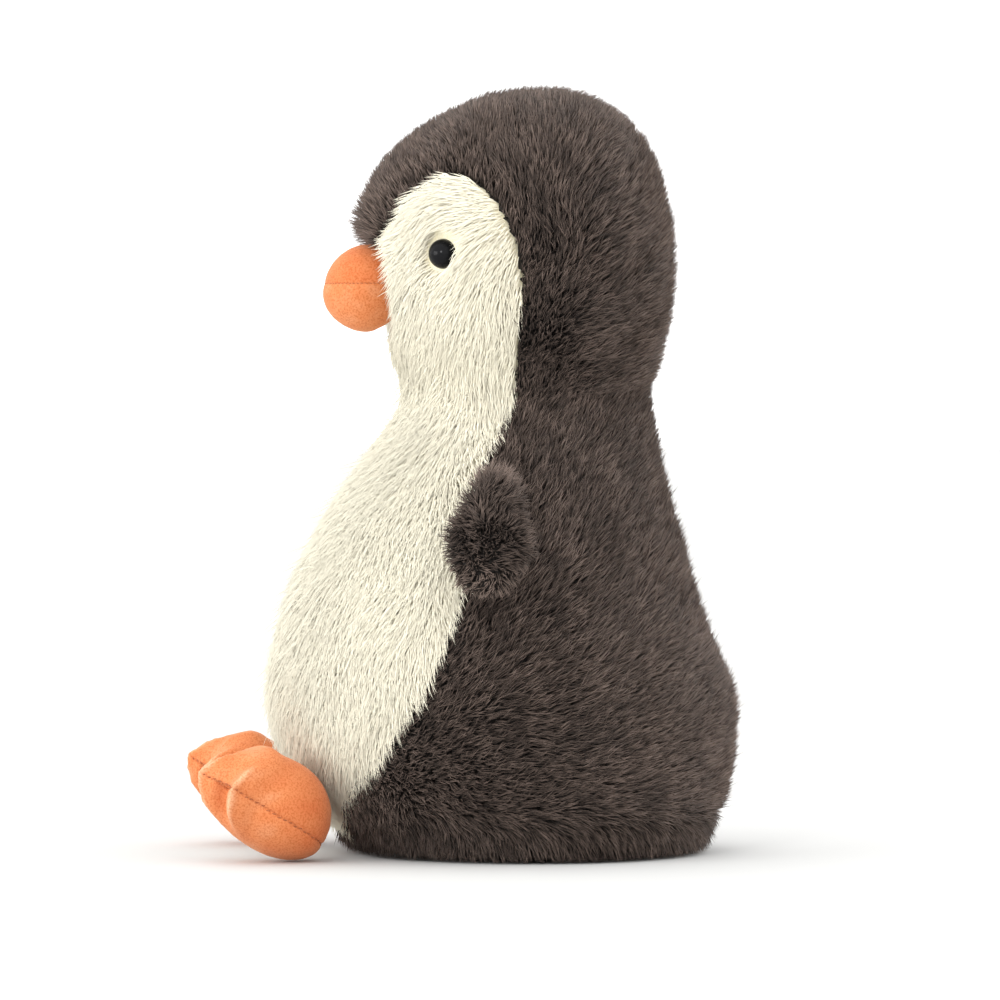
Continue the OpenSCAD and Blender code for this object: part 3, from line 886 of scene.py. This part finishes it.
class Pad:
    """A stuffed suede pad, blown up from its seam, with its seam's outline."""

    def __init__(self, above, below, fill, voxel, cap):
        co, tri = remeshed([above, below, fill], voxel)
        self.ring, self.middle, self.up = seam_ring(above, below, co, tri)
        co = relaxed(co, tri, 2)
        pinned = 1 - smoothstep(0.6 * MM, 3 * MM, nearest_distance(co, evenly(self.ring, 0.5 * MM)))
        self.co, self.tri = subdivided(inflated(co, tri, pinned, 4, cap), tri)
        self.seam = nearest_distance(self.co, evenly(self.ring, 0.4 * MM))

    def above(self):
        """Which points lie above the seam."""
        return (self.co - self.middle) @ self.up > 0

    def press(self, distance, width, depth):
        """Presses a groove. distance is how far each point is from the groove's line."""
        push = depth * np.exp(-((distance / width) ** 2))
        self.co = self.co - push[:, None] * point_normals(self.co, self.tri)

    def spoke(self, rim):
        """For a line from the middle out to a point on the rim, seen from above: how far each point
        is from it, and how far along it the point lies, from 0 to 1."""
        flat = self.co - np.outer((self.co - self.middle) @ self.up, self.up) - self.middle
        arm = rim - self.middle
        along = flat @ arm / (arm @ arm)
        return np.linalg.norm(flat - np.outer(np.clip(along, 0, 1.3), arm), axis=1), along

    def cloths(self, above, below, nap_and_painted_light, body):
        """The two suede cloths, each a thin closed shell. The tone value at each point is pale at 1 and dark
        at 0; on the feet it holds painted light and shade as well as wear.
        """
        height = (self.co[self.tri].mean(axis=1) - self.middle) @ self.up
        normals = point_normals(self.co, self.tri)
        for node, chosen in ((above, height >= 0), (below, height < 0)):
            cloth, used = shell(f"{node}_suede", self.co, normals, self.tri[chosen], SUEDE_THICK, SUEDE)
            layer = cloth.data.attributes.new("nap_and_painted_light", "FLOAT", "POINT")
            layer.data.foreach_set("value", np.tile(nap_and_painted_light[used], 2).astype(np.float32))
            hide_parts(node)
            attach(cloth, body)

    def stitches(self, name, step, length, radius, body):
        """A row of thread stitches lying in the seam."""
        tree = BVHTree.FromPolygons(self.co.tolist(), self.tri.tolist())
        places = evenly(self.ring, step)
        along = unit(np.roll(places, -1, axis=0) - np.roll(places, 1, axis=0))
        found = [tree.find_nearest(p) for p in places]
        out = np.array([f[1] for f in found])
        on = np.array([f[0] for f in found]) + 0.2 * radius * out
        slant = 0.5 * length * unit(along + 0.35 * self.up)
        thread = rods(name, on - slant, on + slant, out, radius, STITCH)
        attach(thread, body)


def rods(name, starts, ends, ups, radius, material):
    """Short round-ended rods, such as stitches."""
    count = len(starts)
    over = unit(np.cross(unit(ends - starts), ups))
    across = np.cross(unit(ends - starts), over)
    rings = []
    for share, thick in ((0, 0.35), (0.15, 1), (0.5, 1.12), (0.85, 1), (1, 0.35)):
        for k in range(6):
            turn = 2 * math.pi * k / 6
            arm = math.cos(turn) * over + math.sin(turn) * across
            rings.append(starts + share * (ends - starts) + thick * radius * arm)
    co = np.stack(rings, axis=1)
    ring = [[k, (k + 1) % 6, 6 + (k + 1) % 6, 6 + k] for k in range(6)]
    walls = np.array([[6 * r + c for c in quad] for r in range(4) for quad in ring])
    caps = np.array([range(5, -1, -1), range(24, 30)])
    corners = np.concatenate([walls.ravel(), caps.ravel()])[None, :] + 30 * np.arange(count)[:, None]
    sizes = np.tile([4] * len(walls) + [6, 6], count)
    return mesh_object(name, co.reshape(-1, 3), corners.ravel(), sizes, material)


def make_foot(side):
    """Three toes that merge above. Each has a ridge back from its tip, with hollows between below; the
    ridge's crest is painted pale, partly as wear and partly as a painted highlight, and the back of the foot
    is painted darker as painted shade under the belly.
    """
    above, below, body = f"foot_{side}_upper", f"foot_{side}_sole", f"foot_{side}"
    pad = Pad(above, below, f"foot_{side}_fill", 1.1 * MM, 1.2 * MM)
    reach = np.linalg.norm(pad.ring - pad.middle, axis=1)
    ahead = -unit(pad.ring - pad.middle)[:, 1]
    longer = (reach > np.roll(reach, 1)) & (reach > np.roll(reach, -1)) & (ahead > 0)
    shorter = (reach < np.roll(reach, 1)) & (reach < np.roll(reach, -1)) & (ahead > 0)
    tips = pad.ring[longer][np.argsort(-ahead[longer])[:3]]
    notches = pad.ring[shorter][np.argsort(-ahead[shorter])[:2]]
    for notch in notches:
        away, along = pad.spoke(notch)
        filled = 2.8 * MM * smoothstep(0.2, 0.5, along) * (1 - smoothstep(0.8, 1, along))
        depth = np.where(pad.above(), -filled, 2.6 * MM * smoothstep(0.4, 0.95, along))
        pad.press(away, np.where(pad.above(), 3.4 * MM, 2.2 * MM), depth)
    flat = pad.co - np.outer((pad.co - pad.middle) @ pad.up, pad.up)
    edge = smoothstep(0.6, 0.85, np.linalg.norm(flat - pad.middle, axis=1) / reach.max())
    smooth = (pad.above() * (1 - edge))[:, None]
    pad.co = pad.co + smooth * (relaxed(pad.co, pad.tri, 40) - pad.co)
    # Pale along the crest of each toe's ridge: partly wear, partly a painted highlight.
    wear_and_highlight = np.zeros(len(pad.co))
    for tip in tips:
        away, along = pad.spoke(tip)
        fade = np.where(pad.above(), smoothstep(0.7, 1, along), smoothstep(0.35, 0.8, along))
        pad.press(away, 1.3 * MM, -0.7 * MM * fade)
        wear_and_highlight = np.maximum(wear_and_highlight, fade * np.exp(-((away / (0.8 * MM)) ** 2)))
        near_tip = np.linalg.norm(pad.co - tip, axis=1)
        pad.co = pad.co + np.outer(1.2 * MM * np.exp(-((near_tip / (2.2 * MM)) ** 2)), unit(tip - pad.middle))
    pad.press(pad.seam, 0.8 * MM, 0.6 * MM)
    pad.co[:, 2] = np.maximum(pad.co[:, 2], 0.3 * MM)
    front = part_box(above)[0].y
    # Darker towards the back of the foot: painted shade where the belly hangs over it.
    painted_rear_shade = smoothstep(front + 18 * MM, front + 38 * MM, pad.co[:, 1])
    # The suede's tone on the foot: pale along the ridges (wear and a painted highlight), darker at the back
    # (painted shade), with random waves.
    nap_and_painted_light = 0.5 + 0.45 * wear_and_highlight - 0.3 * painted_rear_shade + 0.1 * waves(pad.co, 9 * MM, 21)
    pad.cloths(above, below, nap_and_painted_light, body)
    pad.stitches(f"foot_{side}_stitches", 2.0 * MM, 1.2 * MM, 0.17 * MM, body)


def fuller_beak(pad):
    """The beak's points with its lower half fuller and swept back, and its back pushed into the fur."""
    co = pad.co.copy()
    below = np.minimum(co[:, 2] - pad.middle[2], 0)
    back = smoothstep(co[:, 1].max() - 7 * MM, co[:, 1].max(), co[:, 1])
    co[:, 2] += 0.09 * below
    co[:, 1] += 28 * below**2 + 2.8 * MM * back
    return co


def make_beak():
    height = (BEAK.co - BEAK.middle) @ BEAK.up
    nap_and_painted_light = 0.32 + 0.2 * smoothstep(-1 * MM, 1 * MM, -height) + 0.08 * waves(BEAK.co, 5 * MM, 22)
    BEAK.cloths("beak_upper", "beak_lower", nap_and_painted_light, "head")
    BEAK.stitches("beak_stitches", 1.3 * MM, 1.0 * MM, 0.09 * MM, "head")


# ---------------------------------------------------------------- eyes and filling


def set_material(node, material):
    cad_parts[node].data.materials.clear()
    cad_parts[node].data.materials.append(material)


def lumpy(node, name, material, draw_in, depth, lump, voxel, bend=lambda co: co):
    """A CAD solid's shape, drawn in, with lumps pressed into it."""
    co, tri = remeshed([node], voxel)
    co = relaxed(co, tri, 2)
    co = relaxed(co - draw_in * point_normals(co, tri), tri, 2)
    for size, share in ((lump, 0.6), (lump / 3, 0.4)):
        hollow = 0.5 + 0.5 * waves(co, size, 31)
        co = co - share * depth * hollow[:, None] * point_normals(co, tri)
    piece = triangle_object(name, bend(co), tri, material)
    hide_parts(node)
    return piece


FILLS = {
    "body_fill": ("torso", 0.5),
    "neck_fill": ("neck", 1.5),
    "head_fill": ("head", 3.0),
    "beak_fill": ("head", 0.8),
    "foot_left_fill": ("foot_left", 3.0),
    "foot_right_fill": ("foot_right", 3.0),
}


def make_fills():
    for node, (body, draw_in) in FILLS.items():
        low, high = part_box(node)
        size = (high - low).length
        name = f"{node}_wool"
        piece = lumpy(node, name, WOOL, draw_in * MM, 0.01 * size, 0.12 * size, 0.018 * size)
        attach(piece, body)
    for side in SIDES:
        fill = f"flipper_{side}_fill"
        bend = functools.partial(bent_in, side=side)
        piece = lumpy(fill, f"{fill}_wool", WOOL, 2.4 * MM, 0.5 * MM, 6 * MM, 0.9 * MM, bend)
        sewn_on(piece)
    pouch = lumpy("bean_pouch", "bean_pouch_calico", CALICO, 0, 0.6 * MM, 9 * MM, 1.6 * MM)
    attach(pouch, "torso")


def make_pellets():
    """Beads packed in layers inside the pouch."""
    co, tri = arrays(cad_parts["bean_pellets"].data)
    tree = BVHTree.FromPolygons(co.tolist(), tri.tolist())
    low, high = (np.array(v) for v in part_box("bean_pellets"))
    bead, step = 1.5 * MM, 3.5 * MM
    axes = [np.arange(low[k] + bead, high[k], step) for k in range(3)]
    places = np.stack(np.meshgrid(*axes, indexing="ij"), -1).reshape(-1, 3)
    places = places + rng.uniform(-0.2, 0.2, places.shape) * MM
    places = places[inside(tree, places, 1.1 * bead)]
    bpy.ops.mesh.primitive_ico_sphere_add(subdivisions=1, radius=1)
    ball = bpy.context.object
    ball_co, ball_tri = arrays(ball.data)
    bpy.data.objects.remove(ball)
    size = bead * rng.uniform(0.8, 1.05, (len(places), 1, 3))
    co = (places[:, None, :] + size * ball_co[None]).reshape(-1, 3)
    tri = (ball_tri[None] + len(ball_co) * np.arange(len(places))[:, None, None]).reshape(-1, 3)
    beads = triangle_object("bean_pellets_beads", co, tri, PELLET)
    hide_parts("bean_pellets")
    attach(beads, "torso")


# ---------------------------------------------------------------- studio


def make_studio():
    """A white floor under white light from all round, stronger on the face and the front."""
    bpy.context.scene.view_settings.view_transform = "Standard"
    floor_material, _, _, shader = node_material("studio_floor")
    shader.inputs["Base Color"].default_value = (0.60, 0.60, 0.59, 1)
    shader.inputs["Roughness"].default_value = 0.9
    bpy.ops.mesh.primitive_plane_add(size=12)
    floor = bpy.context.object
    floor.name = "floor"
    floor.data.materials.append(floor_material)
    world = bpy.data.worlds.new("studio")
    world.use_nodes = True
    world.node_tree.nodes["Background"].inputs["Color"].default_value = (1, 1, 1, 1)
    world.node_tree.nodes["Background"].inputs["Strength"].default_value = 1.65
    bpy.context.scene.world = world
    for name, place, size, power in (
        ("front", (1.7, -0.7, 0.7), 0.35, 6),
        ("face", (0.7, -1.7, 0.2), 1.0, 17),
        ("top", (-0.4, -0.2, 1.6), 0.9, 1.5),
        ("back", (0.2, 1.4, 0.9), 0.9, 4),
    ):
        data = bpy.data.lights.new(name, "AREA")
        data.size = size
        data.energy = power
        lamp = bpy.data.objects.new(name, data)
        lamp.location = place
        lamp.rotation_euler = (Vector((0, 0, 0.1)) - Vector(place)).to_track_quat("-Z", "Y").to_euler()
        bpy.context.scene.collection.objects.link(lamp)


def make_camera():
    data = bpy.data.cameras.new("camera")
    data.lens = 286.7
    data.sensor_width = 36
    data.clip_end = 20
    camera = bpy.data.objects.new("camera", data)
    azimuth, away = math.radians(85.5), 2.4
    camera.location = (away * math.sin(azimuth), -away * math.cos(azimuth), 0.17)
    aim = Vector((0, -0.009, 0.106))
    camera.rotation_euler = (aim - camera.location).to_track_quat("-Z", "Y").to_euler()
    bpy.context.scene.collection.objects.link(camera)
    bpy.context.scene.camera = camera


make_camera()
make_studio()
BEAK = Pad("beak_upper", "beak_lower", "beak_fill", 0.8 * MM, 0.8 * MM)
BEAK.press(BEAK.seam, 0.6 * MM, 0.15 * MM)
BEAK.co = fuller_beak(BEAK)
BEAK_BOTTOM = BEAK.co[:, 2].min()
BEAK_TREE = BVHTree.FromPolygons(BEAK.co.tolist(), BEAK.tri.tolist())
make_skin()
for each_side in SIDES:
    make_flipper(each_side)
    make_foot(each_side)
make_beak()
EYE = eye_material()
for each_side in SIDES:
    set_material(f"eye_{each_side}", EYE)
    set_material(f"eye_washer_{each_side}", WASHER)
make_fills()
make_pellets()
